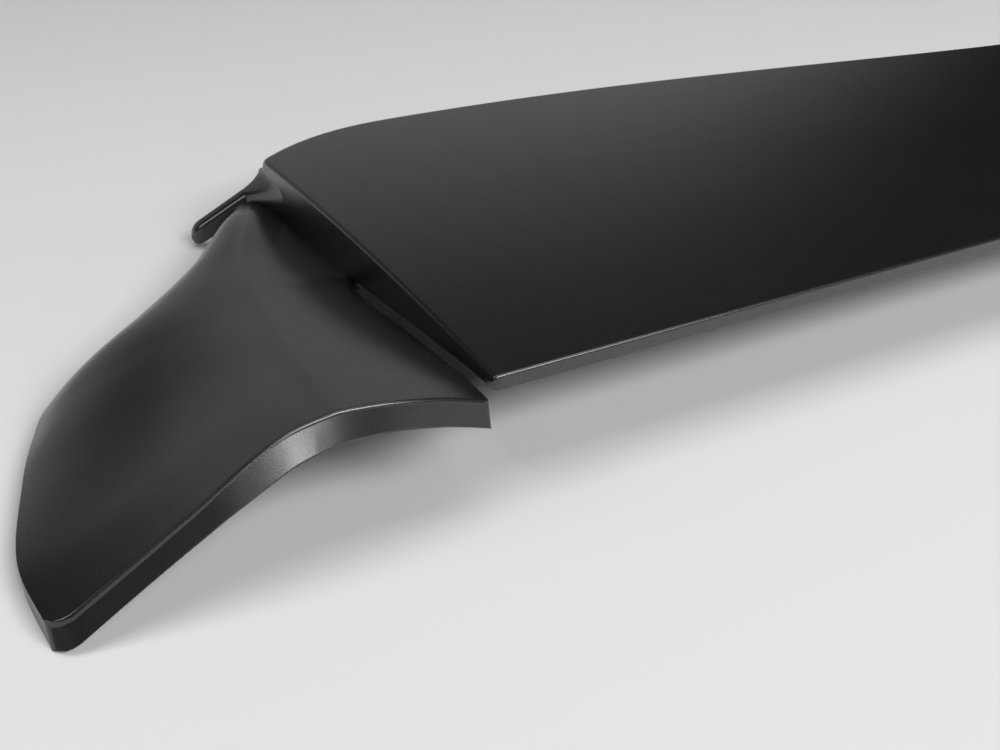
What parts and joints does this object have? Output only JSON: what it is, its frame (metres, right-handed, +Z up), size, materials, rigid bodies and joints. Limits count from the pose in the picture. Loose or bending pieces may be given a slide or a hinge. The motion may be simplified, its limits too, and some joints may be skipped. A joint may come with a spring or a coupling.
{
  "type": "trunk spoiler",
  "caption": "Wide moulded boot-lid spoiler blade with an upswept rear edge and a draped leg at each end, fixed from below.",
  "frame": {"origin": "on the floor, under the centre of the part's bounding box", "axes": "+X across the car along the blade, +Y towards the windscreen, +Z up"},
  "size_m": [1.4946, 0.3194, 0.058],
  "materials": {
    "shell": "satin black, fine moulded grain",
    "insert": "turned"
  },
  "bodies": {
    "root": {"spoiler_shell": "shell", "threaded_insert_1": "insert", "threaded_insert_2": "insert", "threaded_insert_3": "insert", "threaded_insert_4": "insert"}
  },
  "joints": []
}
